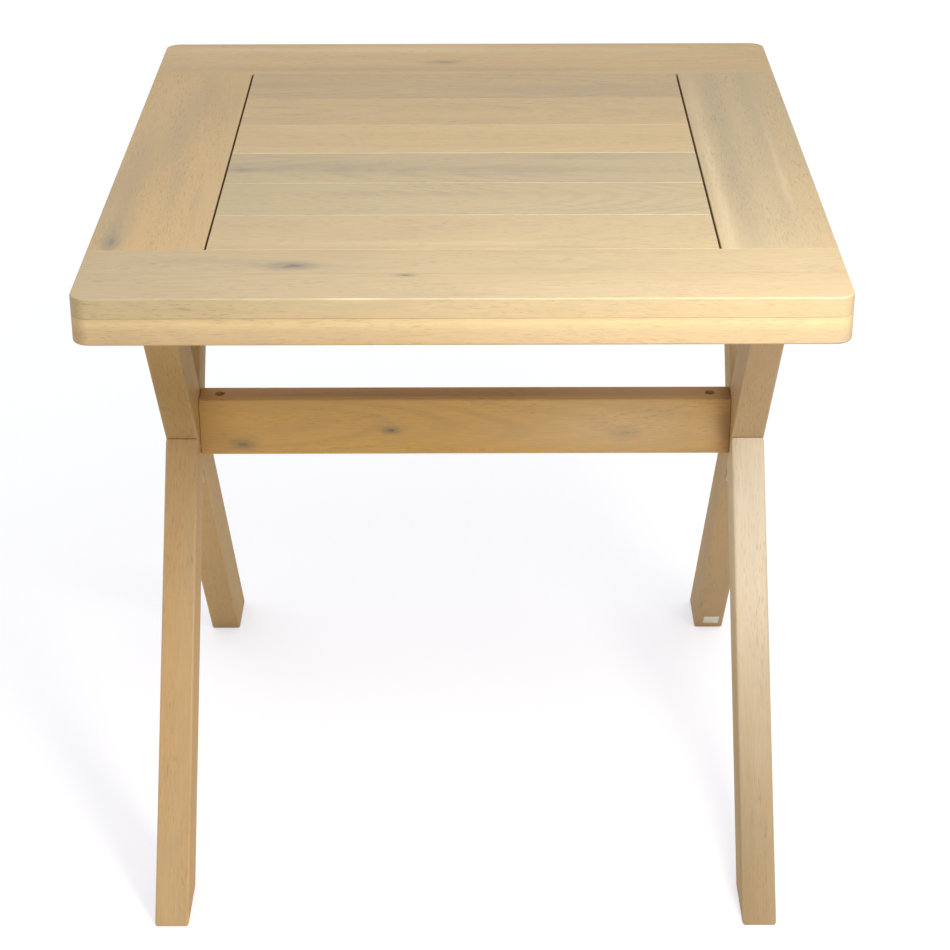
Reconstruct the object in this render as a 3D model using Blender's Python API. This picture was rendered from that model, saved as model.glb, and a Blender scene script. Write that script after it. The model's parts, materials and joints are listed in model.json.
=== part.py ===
"""Folding picnic table: a framed slatted top on two crossed trestles.

The rear legs run unbroken from their feet up to the pivots under the top and are tied
by one stretcher. The front legs and the upper struts butt against them at the crossing
and swing on small steel hinges, so that the top, the struts and the front legs all fold
flat onto the rear legs. +X is the width, +Y the back, +Z up; the origin is on the
ground under the middle of the top.
"""

import math

import bmesh
import bpy
from mathutils import Matrix, Vector

# Driving dimensions, in metres
TOP_WIDTH = 0.700
TOP_DEPTH = 0.800
HEIGHT = 0.720             # ground to the top's face
LAYER = 0.019              # thickness of the rails, stiles and slats
EDGE_DROP = 0.0265         # height of the edge boards under that layer
CORNER_RADIUS = 0.016      # the top's round corners, in plan
RAIL_WIDTH = 0.1215
STILE_WIDTH = 0.109
SLAT_COUNT = 6
SLAT_END_GAP = 0.0021      # the shadow gap between slat ends and stiles
BATTEN = 0.018             # thickness of the strips under the slats
LEDGER_X = (0.220, 0.262)
CENTRE_BATTEN_HALF = 0.030
TENON = (0.050, 0.070, 0.008)

LEG_OUTER_X = 0.3215
LEG_THICKNESS = 0.035
LEG_WIDTH = 0.056
LEAN = math.radians(37.1)  # legs from the vertical
CROSSING_Z = 0.4116
STRETCHER_DEPTH = 0.034
STRETCHER_Z = (0.3832, 0.4486)
NUT_INSET = 0.0215         # barrel nut from the stretcher's end

PIVOT_RISE = 0.180         # top pivots above the crossing
HINGE_OFFSET = 0.0045      # hinge pins from the wood faces they join
FIT = 0.0003               # gap between pieces that rest on each other

PLATE = 0.004              # thickness of the slot plates
PLATE_MARGIN = 0.016       # steel round the slot
PIVOT_BOSS = 0.020         # radius of the steel round the pivot hole
FLARE = 0.010              # how far the plate widens from the boss up to the stile
ARCH_REACH = 0.022         # how far the arch between the plate's two bosses keeps off the stile
BOLT_RADIUS = 0.004
BOLT_PAST_NUT = 0.003
SMALL_BOLT_RADIUS = 0.003
HEAD_RADIUS = 0.009
HEAD_FLAT = 0.006          # radius of the flat on a bolt head
HEAD_HEIGHT = 0.004
HEAD_SUNK = 0.0015         # how deep the stretcher bolt's head lies in its recess
WASHER = 0.0015
WASHER_RADIUS = 0.012
NUT_RADIUS = 0.0075        # to a corner of the hexagon
NUT_HEIGHT = 0.0065
BARREL_RADIUS = 0.005
BARREL_HALF = 0.012
BOLT_PAST_BARREL = 0.009
HUB_RADII = (0.007, 0.006)
WING_HALF = 0.0012         # half the thickness of a wing
WING_SPAN = 0.0135
WING_REACH = 0.0125        # how far the wings stand out past the plate side of the nut

KNUCKLE_RADIUS = 0.0042
HINGE_PIN_RADIUS = 0.0018
PIN_HEAD_RADIUS = 0.003
PIN_HEAD = 0.001
HINGE_WIDTH = 0.030
LEAF = 0.0018
LEAF_LENGTH = 0.038

BOARD_EASE = 0.0012        # chamfers of the top's boards
STRIP_EASE = 0.0015
TENON_EASE = 0.001
BAR_EASE = 0.003           # rounding of the legs, struts and stretcher
THROUGH = 0.002            # how far a cutter runs past the faces it cuts
SLOT_STEPS = 24
ARCH_STEPS = 20
BOSS_STEPS = 16
TURN_STEPS = 10
HALF_OF_TURN = TURN_STEPS // 2 + 1
ROUND_STEPS = 24
WELL_STEPS = 20

# Worked out from them
LAYER_Z = HEIGHT - LAYER
EDGE_Z = LAYER_Z - EDGE_DROP
HALF_WIDTH = TOP_WIDTH / 2
HALF_DEPTH = TOP_DEPTH / 2
INNER_Y = HALF_DEPTH - RAIL_WIDTH
STILE_X = HALF_WIDTH - STILE_WIDTH
LEG_INNER_X = LEG_OUTER_X - LEG_THICKNESS
HALF_LEG = LEG_WIDTH / 2
SIN, COS = math.sin(LEAN), math.cos(LEAN)
PIVOT_Y = PIVOT_RISE * math.tan(LEAN)
PIVOT_Z = CROSSING_Z + PIVOT_RISE
TOP_PIVOT = (-PIVOT_Y, PIVOT_Z)
SLOT_BOLT = (PIVOT_Y, PIVOT_Z)
STRUT_PIN = ((HALF_LEG + HINGE_OFFSET) / COS, CROSSING_Z)
FRONT_PIN = (0.0, CROSSING_Z - (HALF_LEG + HINGE_OFFSET) / SIN)
PLATE_X = (LEG_OUTER_X + FIT, LEG_OUTER_X + FIT + PLATE)
WASHER_X = PLATE_X[1] + FIT
NUT_X = WASHER_X + WASHER + FIT
BOLT_END_X = NUT_X + NUT_HEIGHT + BOLT_PAST_NUT
EDGE_BOARD = HALF_WIDTH - WASHER_X   # the plates lie against the boards' inner faces

ACACIA_LIGHT = (0.56, 0.43, 0.27)
ACACIA_GREY = (0.50, 0.40, 0.27)
ACACIA_WARM = (0.55, 0.40, 0.23)
STEEL = (0.55, 0.55, 0.53)
DARK_STEEL = (0.10, 0.10, 0.10)


def clear_scene():
    for obj in list(bpy.data.objects):
        bpy.data.objects.remove(obj, do_unlink=True)


def finish_material(obj, colour, roughness, metallic):
    material = bpy.data.materials.new(obj.name)
    material.use_nodes = True
    shader = material.node_tree.nodes["Principled BSDF"]
    shader.inputs["Base Color"].default_value = (*colour, 1.0)
    shader.inputs["Roughness"].default_value = roughness
    shader.inputs["Metallic"].default_value = metallic
    obj.data.materials.append(material)


def make_object(name, shape):
    """Turns a bmesh into an object whose faces all point out."""
    bmesh.ops.recalc_face_normals(shape, faces=shape.faces)
    mesh = bpy.data.meshes.new(name)
    shape.to_mesh(mesh)
    shape.free()
    obj = bpy.data.objects.new(name, mesh)
    bpy.context.collection.objects.link(obj)
    return obj


def prism(name, outline, low, high, axis):
    """Extrudes a 2-D outline from low to high along axis 'X' or 'Z'."""
    shape = bmesh.new()
    rings = []
    for level in (low, high):
        if axis == "X":
            ring = [shape.verts.new((level, a, b)) for a, b in outline]
        else:
            ring = [shape.verts.new((a, b, level)) for a, b in outline]
        rings.append(ring)
    count = len(outline)
    for i in range(count):
        j = (i + 1) % count
        shape.faces.new((rings[0][i], rings[0][j], rings[1][j], rings[1][i]))
    shape.faces.new(rings[0])
    shape.faces.new(rings[1])
    return make_object(name, shape)


def board(name, low, high):
    outline = [(low[0], low[1]), (high[0], low[1]), (high[0], high[1]), (low[0], high[1])]
    return prism(name, outline, low[2], high[2], "Z")


def turned(name, centre, profile, steps=ROUND_STEPS):
    """Turns (x, radius) points about an axis along X through centre (y, z).

    A profile that starts and ends at radius 0 gives a solid bar; one that stays off
    the axis is closed on itself and gives a ring.
    """
    shape = bmesh.new()
    rings = []
    for x, radius in profile:
        if radius == 0.0:
            rings.append([shape.verts.new((x, centre[0], centre[1]))])
            continue
        ring = []
        for i in range(steps):
            turn = math.tau * (i + 0.5) / steps
            y = centre[0] + radius * math.cos(turn)
            z = centre[1] + radius * math.sin(turn)
            ring.append(shape.verts.new((x, y, z)))
        rings.append(ring)
    pairs = list(zip(rings, rings[1:]))
    if profile[0][1] > 0.0:
        pairs.append((rings[-1], rings[0]))
    for first, second in pairs:
        for i in range(steps):
            j = (i + 1) % steps
            corners = [first[i % len(first)], first[j % len(first)]]
            corners += [second[j % len(second)], second[i % len(second)]]
            shape.faces.new(list(dict.fromkeys(corners)))
    return make_object(name, shape)


def ease(obj, width, segments=1):
    """Rounds every sharp edge."""
    bevel = obj.modifiers.new("eased_edges", "BEVEL")
    bevel.width = width
    bevel.segments = segments
    bevel.limit_method = "ANGLE"
    bevel.angle_limit = math.radians(40)
    return obj


def combine(obj, other, operation):
    """Cuts other out of obj, or joins it to obj, with a live Boolean."""
    other.hide_render = True
    other.display_type = "WIRE"
    boolean = obj.modifiers.new(other.name, "BOOLEAN")
    boolean.operation = operation
    boolean.solver = "EXACT"
    boolean.object = other


def bore(obj, name, centre, radius, low, high, steps=ROUND_STEPS):
    """Cuts a round hole along X."""
    cutter = turned(name, centre, [(low, 0.0), (low, radius), (high, radius), (high, 0.0)], steps)
    combine(obj, cutter, "DIFFERENCE")


def span(side, near, far):
    """The x range between two distances from the middle, on one side."""
    return tuple(sorted((side * near, side * far)))


def rear_point(along, out):
    """A point of the rear leg: along it down from the crossing, out towards the back."""
    return (along * SIN + out * COS, CROSSING_Z - along * COS + out * SIN)


def front_point(along, out):
    """The same for the line of the front leg and strut, out towards the front."""
    y, z = rear_point(along, out)
    return (-y, z)


def half_turn(centre, radius, start, steps=TURN_STEPS):
    """Points on a half circle, counterclockwise in the YZ plane from an angle."""
    points = []
    for i in range(steps + 1):
        angle = start + math.pi * i / steps
        points.append((centre[0] + radius * math.cos(angle), centre[1] + radius * math.sin(angle)))
    return points


def rounded_slab(low, high, corners, radius, steps=6):
    """A plan rectangle whose named corners, as signs of (x, y), are rounded."""
    outline = []
    for sign_x, sign_y, start in ((-1, -1, 180), (1, -1, 270), (1, 1, 0), (-1, 1, 90)):
        x = high[0] if sign_x > 0 else low[0]
        y = high[1] if sign_y > 0 else low[1]
        if (sign_x, sign_y) not in corners:
            outline.append((x, y))
            continue
        for i in range(steps + 1):
            angle = math.radians(start + 90 * i / steps)
            centre_x = x - sign_x * radius
            centre_y = y - sign_y * radius
            outline.append((centre_x + radius * math.cos(angle), centre_y + radius * math.sin(angle)))
    return outline


def make_top(wood):
    """Rails and stiles round six slats, on edge boards, ledgers and a batten."""
    edge_top = LAYER_Z - FIT
    for name, sign in (("front", -1), ("back", 1)):
        corners = ((-1, sign), (1, sign))
        y = tuple(sorted((sign * INNER_Y, sign * HALF_DEPTH)))
        outline = rounded_slab((-HALF_WIDTH, y[0]), (HALF_WIDTH, y[1]), corners, CORNER_RADIUS)
        rail = prism(f"{name}_rail", outline, LAYER_Z, HEIGHT, "Z")
        wood(ease(rail, BOARD_EASE), ACACIA_LIGHT)
        y = tuple(sorted((sign * (HALF_DEPTH - EDGE_BOARD), sign * HALF_DEPTH)))
        outline = rounded_slab((-HALF_WIDTH, y[0]), (HALF_WIDTH, y[1]), corners, CORNER_RADIUS)
        edge = prism(f"{name}_edge_board", outline, EDGE_Z, edge_top, "Z")
        wood(ease(edge, BOARD_EASE), ACACIA_WARM)

    for name, side in (("left", -1), ("right", 1)):
        x = span(side, STILE_X, HALF_WIDTH)
        reach = INNER_Y - FIT
        stile = board(f"{name}_stile", (x[0], -reach, LAYER_Z), (x[1], reach, HEIGHT))
        wood(ease(stile, BOARD_EASE), ACACIA_LIGHT)
        x = span(side, HALF_WIDTH - EDGE_BOARD, HALF_WIDTH)
        reach = HALF_DEPTH - EDGE_BOARD - FIT
        edge = board(f"{name}_edge_board", (x[0], -reach, EDGE_Z), (x[1], reach, edge_top))
        wood(ease(edge, BOARD_EASE), ACACIA_WARM)
        x = span(side, *LEDGER_X)
        ledger = board(f"{name}_ledger", (x[0], -reach + FIT, edge_top - BATTEN),
                       (x[1], reach - FIT, edge_top))
        wood(ease(ledger, STRIP_EASE), ACACIA_GREY)
        add_tenons(name, side, stile, wood)

    batten = board("centre_batten", (-CENTRE_BATTEN_HALF, -reach + FIT, edge_top - BATTEN),
                   (CENTRE_BATTEN_HALF, reach - FIT, edge_top))
    wood(ease(batten, STRIP_EASE), ACACIA_GREY)

    pitch = (2 * INNER_Y - FIT) / SLAT_COUNT
    half_slat = STILE_X - SLAT_END_GAP
    for i in range(SLAT_COUNT):
        start = -INNER_Y + FIT + i * pitch
        slat = board(f"slat_{i + 1}", (-half_slat, start, LAYER_Z),
                     (half_slat, start + pitch - FIT, HEIGHT))
        wood(ease(slat, BOARD_EASE), ACACIA_GREY if i in (1, 2) else ACACIA_LIGHT)


def add_tenons(name, side, stile, wood):
    """Loose tenons in mortises join a stile to the two rails."""
    middle_x = side * (STILE_X + HALF_WIDTH) / 2
    middle_z = LAYER_Z + LAYER / 2
    for end, sign in (("front", -1), ("back", 1)):
        centre = Vector((middle_x, sign * INNER_Y, middle_z))
        half = Vector(TENON) / 2
        low, high = centre - half, centre + half
        tenon = board(f"{end}_{name}_tenon", low, high)
        wood(ease(tenon, TENON_EASE), ACACIA_GREY)
        room = Vector((FIT, FIT, FIT))
        for target in (stile, bpy.data.objects[f"{end}_rail"]):
            mortise = board(f"mortise_{end}_{name}_{target.name}", low - room, high + room)
            combine(target, mortise, "DIFFERENCE")


def slot_path():
    """Where the strut's bolt travels in the slot plate, from open to folded.

    With the top turned by a, and so the strut by 2a, the bolt stays on this curve about
    the top pivot; what is left to turn, 90 degrees - lean - a, is the parameter.
    """
    reach = 2 * PIVOT_RISE / COS
    rise = (LEG_WIDTH + 2 * HINGE_OFFSET) / COS
    points = []
    for i in range(SLOT_STEPS + 1):
        rest = (math.pi / 2 - LEAN) * (1 - i / SLOT_STEPS)
        y = TOP_PIVOT[0] + reach * math.cos(rest)
        z = TOP_PIVOT[1] + rise * math.cos(rest + LEAN)
        points.append((y, z))
    return points


def offset_path(points, distance):
    """The path moved sideways, to its right for a positive distance."""
    moved = []
    for i, point in enumerate(points):
        before = Vector(points[max(i - 1, 0)])
        after = Vector(points[min(i + 1, len(points) - 1)])
        along = (after - before).normalized()
        moved.append((point[0] + along.y * distance, point[1] - along.x * distance))
    return moved


def heading(start, end):
    return math.atan2(end[1] - start[1], end[0] - start[0])


def arch(start, end, crown_z, steps=ARCH_STEPS):
    """Points of a smooth arch from start up to a crown height and down to end."""
    points = []
    for i in range(steps + 1):
        share = i / steps
        base = start[1] + (end[1] - start[1]) * share
        lift = (crown_z - base) * math.sin(math.pi * share) ** 0.8
        points.append((start[0] + (end[0] - start[0]) * share, base + lift))
    return points


def make_slot_plate(name, side, metal):
    """A steel plate on the inside of each side edge board: the pivot hole and the slot."""
    path = slot_path()
    first = heading(path[0], path[1])
    last = heading(path[-2], path[-1])
    top_z = LAYER_Z - FIT
    x = span(side, *PLATE_X)

    pivot_round = half_turn(TOP_PIVOT, PIVOT_BOSS, math.pi, BOSS_STEPS)
    slot_round = half_turn(path[0], PLATE_MARGIN, math.pi, BOSS_STEPS)
    slot_round = [point for point in slot_round if point[0] < path[0][0] + BOLT_RADIUS]
    end_round = half_turn(path[-1], PLATE_MARGIN, last - math.pi / 2)[:HALF_OF_TURN]
    outline = [(TOP_PIVOT[0] - PIVOT_BOSS - FLARE, top_z)] + pivot_round
    outline += arch(pivot_round[-1], slot_round[0], LAYER_Z - ARCH_REACH)[1:]
    outline += slot_round[1:] + offset_path(path, PLATE_MARGIN)[1:] + end_round[1:]
    outline += [(path[-1][0] + PLATE_MARGIN + BOLT_RADIUS, top_z)]
    plate = prism(f"{name}_slot_plate", outline, x[0], x[1], "X")

    run = BOLT_RADIUS + 2 * FIT
    slot = half_turn(path[0], run, first + math.pi / 2)
    slot += offset_path(path, run)[1:-1]
    slot += half_turn(path[-1], run, last - math.pi / 2)
    slot += offset_path(path, -run)[-2:0:-1]
    through = span(side, PLATE_X[0] - THROUGH, PLATE_X[1] + THROUGH)
    combine(plate, prism(f"{name}_slot", slot, through[0], through[1], "X"), "DIFFERENCE")
    bore(plate, f"{name}_plate_hole", TOP_PIVOT, BOLT_RADIUS + FIT, *through)
    metal(plate, DARK_STEEL)


def drill_crossing(leg, name, side):
    """The recess for the stretcher bolt's head and the hole for its shank."""
    centre = (0.0, CROSSING_Z)
    recess = span(side, LEG_OUTER_X - HEAD_HEIGHT - HEAD_SUNK - FIT, LEG_OUTER_X + THROUGH)
    bore(leg, f"{name}_recess", centre, HEAD_RADIUS + FIT, *recess)
    shank = span(side, LEG_INNER_X - THROUGH, LEG_OUTER_X)
    bore(leg, f"{name}_leg_hole", centre, SMALL_BOLT_RADIUS + FIT, *shank)


def make_rear_leg(name, side, wood):
    """One straight piece from the flat-cut foot to its round end at the top pivot."""
    foot = CROSSING_Z / COS
    shift = HALF_LEG * SIN / COS
    rise = PIVOT_RISE / COS
    x = span(side, LEG_INNER_X, LEG_OUTER_X)
    outline = [rear_point(foot - shift, -HALF_LEG), rear_point(foot + shift, HALF_LEG)]
    outline += half_turn(rear_point(-rise, 0.0), HALF_LEG, LEAN)
    leg = prism(f"{name}_rear_leg", outline, x[0], x[1], "X")
    ease(leg, BAR_EASE, 2)
    drill_crossing(leg, name, side)
    through = span(side, LEG_INNER_X - THROUGH, LEG_OUTER_X + THROUGH)
    bore(leg, f"{name}_leg_pivot_hole", TOP_PIVOT, BOLT_RADIUS + FIT, *through)
    wood(leg, ACACIA_WARM)


def make_front_leg(name, side, wood):
    """From the flat-cut foot up to a mitred end that bears on the rear leg."""
    foot = CROSSING_Z / COS
    shift = HALF_LEG * SIN / COS
    x = span(side, LEG_INNER_X, LEG_OUTER_X)
    outline = [front_point(foot - shift, -HALF_LEG), front_point(foot + shift, HALF_LEG)]
    outline += [bearing_point(HALF_LEG, -HALF_LEG - FIT), bearing_point(-HALF_LEG, -HALF_LEG - FIT)]
    leg = prism(f"{name}_front_leg", outline, x[0], x[1], "X")
    wood(ease(leg, BAR_EASE, 2), ACACIA_WARM)


def bearing_point(front_out, rear_out):
    """Where a face line of the front leg or strut meets a line beside the rear leg."""
    along = -(rear_out + front_out * math.cos(2 * LEAN)) / math.sin(2 * LEAN)
    return front_point(along, front_out)


def make_strut(name, side, wood):
    """From a mitred end on the rear leg's back up to the bolt in the slot plate."""
    x = span(side, LEG_INNER_X, LEG_OUTER_X)
    rise = PIVOT_RISE / COS
    outline = [bearing_point(-HALF_LEG, HALF_LEG + FIT), bearing_point(HALF_LEG, HALF_LEG + FIT)]
    outline += half_turn(front_point(-rise, 0.0), HALF_LEG, -LEAN)[::-1]
    strut = prism(f"{name}_strut", outline, x[0], x[1], "X")
    ease(strut, BAR_EASE, 2)
    through = span(side, LEG_INNER_X - THROUGH, LEG_OUTER_X + THROUGH)
    bore(strut, f"{name}_strut_hole", SLOT_BOLT, BOLT_RADIUS + FIT, *through)
    wood(strut, ACACIA_WARM)


def make_stretcher(wood):
    """The cross rail between the rear legs, drilled for bolts and barrel nuts."""
    reach = LEG_INNER_X - FIT
    half = STRETCHER_DEPTH / 2
    rail = board("stretcher", (-reach, -half, STRETCHER_Z[0]), (reach, half, STRETCHER_Z[1]))
    ease(rail, BAR_EASE, 2)
    for name, side in (("left", -1), ("right", 1)):
        hole = span(side, reach - NUT_INSET - BARREL_HALF, reach + THROUGH)
        bore(rail, f"{name}_stretcher_hole", (0.0, CROSSING_Z), SMALL_BOLT_RADIUS + FIT, *hole)
        well = upright(f"{name}_nut_well", side * (reach - NUT_INSET), BARREL_RADIUS + FIT,
                       CROSSING_Z - BARREL_HALF - FIT, STRETCHER_Z[1] + THROUGH)
        combine(rail, well, "DIFFERENCE")
    wood(rail, ACACIA_WARM)


def upright(name, x, radius, low, high):
    """A vertical cylinder on the middle plane."""
    outline = []
    for i in range(WELL_STEPS):
        turn = math.tau * i / WELL_STEPS
        outline.append((x + radius * math.cos(turn), radius * math.sin(turn)))
    return prism(name, outline, low, high, "Z")


def make_crossing_bolt(name, side, metal):
    """The bolt through the rear leg into a barrel nut inside the stretcher."""
    seat = LEG_OUTER_X - HEAD_HEIGHT - HEAD_SUNK
    nut_x = LEG_INNER_X - FIT - NUT_INSET
    tip = nut_x - BOLT_PAST_BARREL
    profile = [(side * tip, 0.0), (side * tip, SMALL_BOLT_RADIUS)]
    profile += [(side * seat, SMALL_BOLT_RADIUS), (side * seat, HEAD_RADIUS)]
    profile += [(side * (seat + HEAD_HEIGHT * 0.6), HEAD_RADIUS), (side * (seat + HEAD_HEIGHT), HEAD_FLAT)]
    profile += [(side * (seat + HEAD_HEIGHT), 0.0)]
    metal(turned(f"{name}_stretcher_bolt", (0.0, CROSSING_Z), profile), STEEL)
    nut = upright(f"{name}_barrel_nut", side * nut_x, BARREL_RADIUS, CROSSING_Z - BARREL_HALF,
                  CROSSING_Z + BARREL_HALF)
    reach = BARREL_RADIUS + THROUGH
    bore(nut, f"{name}_nut_thread", (0.0, CROSSING_Z), SMALL_BOLT_RADIUS + FIT,
         *span(side, nut_x - reach, nut_x + reach))
    metal(nut, STEEL)


def make_through_bolt(name, side, centre, metal):
    """A dome-headed bolt from the inner face out past the slot plate."""
    head = LEG_INNER_X - FIT
    profile = [(side * (head - HEAD_HEIGHT), 0.0), (side * (head - HEAD_HEIGHT), 0.004)]
    profile += [(side * (head - HEAD_HEIGHT * 0.6), 0.0075), (side * head, HEAD_RADIUS)]
    profile += [(side * head, BOLT_RADIUS), (side * BOLT_END_X, BOLT_RADIUS)]
    profile += [(side * BOLT_END_X, 0.0)]
    bolt = turned(name, centre, profile)
    metal(bolt, STEEL)
    return bolt


def make_washer(name, side, centre, metal):
    inner = BOLT_RADIUS + FIT
    x = (side * WASHER_X, side * (WASHER_X + WASHER))
    profile = [(x[0], inner), (x[0], WASHER_RADIUS), (x[1], WASHER_RADIUS), (x[1], inner)]
    metal(turned(name, centre, profile), STEEL)


def make_lock_nut(name, side, metal):
    """A hexagon nut on the top pivot."""
    outline = []
    for i in range(6):
        turn = math.tau * i / 6
        outline.append((TOP_PIVOT[0] + NUT_RADIUS * math.cos(turn),
                        TOP_PIVOT[1] + NUT_RADIUS * math.sin(turn)))
    x = span(side, NUT_X, NUT_X + NUT_HEIGHT)
    nut = prism(name, outline, x[0], x[1], "X")
    bore(nut, f"{name}_thread", TOP_PIVOT, BOLT_RADIUS + FIT, x[0] - THROUGH, x[1] + THROUGH)
    metal(nut, STEEL)


def make_wing_nut(name, side, metal):
    """A round hub with two flat wings, which clamps the strut to the slot plate."""
    x = (side * NUT_X, side * (NUT_X + NUT_HEIGHT))
    profile = [(x[0], 0.0), (x[0], HUB_RADII[0]), (x[1], HUB_RADII[1]), (x[1], 0.0)]
    nut = turned(name, SLOT_BOLT, profile)
    shape = bmesh.new()
    one_wing = ((0.001, 0.0055), (0.004, 0.0095), (0.010, WING_SPAN), (WING_REACH, WING_SPAN - 0.001),
                (WING_REACH, 0.0095), (0.0055, 0.0045))
    sketch = one_wing + tuple((rise, -out) for rise, out in reversed(one_wing))
    rings = []
    for offset in (-WING_HALF, WING_HALF):
        ring = []
        for rise, out in sketch:
            place = (side * (NUT_X + rise), SLOT_BOLT[0] + out, SLOT_BOLT[1] + offset)
            ring.append(shape.verts.new(place))
        rings.append(ring)
    for i in range(len(sketch)):
        j = (i + 1) % len(sketch)
        shape.faces.new((rings[0][i], rings[0][j], rings[1][j], rings[1][i]))
    shape.faces.new(rings[0])
    shape.faces.new(rings[1])
    combine(nut, make_object(f"{name}_wings", shape), "UNION")
    reach = span(side, NUT_X - THROUGH, NUT_X + WING_REACH + THROUGH)
    bore(nut, f"{name}_thread", SLOT_BOLT, BOLT_RADIUS + FIT, *reach)
    metal(nut, STEEL)


def make_hinge(name, side, pin, fixed, moving, metal):
    """A butt hinge: two knuckles on the fixed leaf, one on the moving leaf, one pin.

    fixed and moving are (direction, inward normal) of the two wood faces it joins.
    """
    middle = (LEG_INNER_X + LEG_OUTER_X) / 2
    low = middle - HINGE_WIDTH / 2
    third = HINGE_WIDTH / 3
    hole = HINGE_PIN_RADIUS + FIT
    bands = {"fixed": ((low, low + third - FIT), (low + 2 * third + FIT, low + 3 * third)),
             "moving": ((low + third, low + 2 * third),)}
    for part, (direction, normal) in (("fixed", fixed), ("moving", moving)):
        direction, normal = Vector(direction), Vector(normal)
        centre = Vector(pin)
        outer = centre + normal * (HINGE_OFFSET - FIT)
        inner = outer - normal * LEAF
        end = direction * LEAF_LENGTH
        outline = [tuple(inner), tuple(inner + end), tuple(outer + end), tuple(outer)]
        x = span(side, low, low + HINGE_WIDTH)
        leaf = prism(f"{name}_hinge_{part}_leaf", outline, x[0], x[1], "X")
        other = "moving" if part == "fixed" else "fixed"
        for i, (start, stop) in enumerate(bands[other]):
            gap = span(side, start - FIT, stop + FIT)
            bore(leaf, f"{leaf.name}_notch_{i}", pin, KNUCKLE_RADIUS + 2 * FIT, *gap)
        for i, (start, stop) in enumerate(bands[part]):
            x0, x1 = side * start, side * stop
            profile = [(x0, 0.0), (x0, KNUCKLE_RADIUS), (x1, KNUCKLE_RADIUS), (x1, 0.0)]
            knuckle = turned(f"{leaf.name}_knuckle_{i}", pin, profile, 20)
            combine(leaf, knuckle, "UNION")
        bore(leaf, f"{leaf.name}_bore", pin, hole, *span(side, low - THROUGH, low + HINGE_WIDTH + THROUGH))
        metal(leaf, STEEL)
    seats = (low - FIT, low + HINGE_WIDTH + FIT)
    tips = (seats[0] - PIN_HEAD, seats[1] + PIN_HEAD)
    head, shank = PIN_HEAD_RADIUS, HINGE_PIN_RADIUS
    profile = [(side * tips[0], 0.0), (side * tips[0], head), (side * seats[0], head)]
    profile += [(side * seats[0], shank), (side * seats[1], shank), (side * seats[1], head)]
    profile += [(side * tips[1], head), (side * tips[1], 0.0)]
    metal(turned(f"{name}_hinge_pin", pin, profile, 16), STEEL)


def make_side(name, side, wood, metal):
    """Everything that is the same on the left and the right."""
    make_slot_plate(name, side, metal)
    make_rear_leg(name, side, wood)
    make_front_leg(name, side, wood)
    make_strut(name, side, wood)
    make_crossing_bolt(name, side, metal)
    make_through_bolt(f"{name}_pivot_bolt", side, TOP_PIVOT, metal)
    make_through_bolt(f"{name}_slot_bolt", side, SLOT_BOLT, metal)
    make_washer(f"{name}_pivot_washer", side, TOP_PIVOT, metal)
    make_washer(f"{name}_slot_washer", side, SLOT_BOLT, metal)
    make_lock_nut(f"{name}_pivot_nut", side, metal)
    make_wing_nut(f"{name}_wing_nut", side, metal)
    make_hinge(f"{name}_front", side, FRONT_PIN, ((SIN, -COS), (COS, SIN)),
               ((-SIN, -COS), (-COS, SIN)), metal)
    make_hinge(f"{name}_strut", side, STRUT_PIN, ((SIN, -COS), (-COS, -SIN)),
               ((SIN, COS), (-COS, SIN)), metal)


def hang_on(axis_name, place, names):
    """Parents the pieces of one moving body to an empty on its joint axis."""
    axis = bpy.data.objects.new(axis_name, None)
    axis.location = (0.0, *place)
    bpy.context.collection.objects.link(axis)
    for name in names:
        piece = bpy.data.objects[name]
        piece.parent = axis
        piece.matrix_parent_inverse = Matrix.Translation(axis.location).inverted()


def hang_everything():
    top = ["front_rail", "back_rail", "centre_batten", "front_edge_board", "back_edge_board"]
    top += [f"slat_{i + 1}" for i in range(SLAT_COUNT)]
    for side in ("left", "right"):
        top += [f"{side}_{part}" for part in ("stile", "edge_board", "ledger", "slot_plate")]
        top += [f"{end}_{side}_tenon" for end in ("front", "back")]
        hang_on(f"{side}_front_leg_axis", FRONT_PIN,
                (f"{side}_front_leg", f"{side}_front_hinge_moving_leaf"))
        hang_on(f"{side}_strut_axis", STRUT_PIN,
                (f"{side}_strut", f"{side}_strut_hinge_moving_leaf", f"{side}_slot_bolt",
                 f"{side}_slot_washer"))
        hang_on(f"{side}_wing_nut_axis", SLOT_BOLT, (f"{side}_wing_nut",))
    hang_on("top_axis", TOP_PIVOT, top)


def smooth_round_pieces():
    for obj in bpy.data.objects:
        if obj.type == "MESH" and not obj.hide_render:
            obj.data.shade_smooth()
            obj.data.set_sharp_from_angle(angle=math.radians(35))


def build():
    clear_scene()

    def wood(obj, colour):
        finish_material(obj, colour, 0.55, 0.0)

    def metal(obj, colour):
        finish_material(obj, colour, 0.35, 0.9)

    make_top(wood)
    make_stretcher(wood)
    for name, side in (("left", -1), ("right", 1)):
        make_side(name, side, wood, metal)
    hang_everything()
    smooth_round_pieces()


build()
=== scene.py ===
"""Folding picnic table in pale acacia: finished boards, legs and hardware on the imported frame."""

import json
import math

import bpy
import numpy as np
from mathutils import Matrix, Vector


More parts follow.
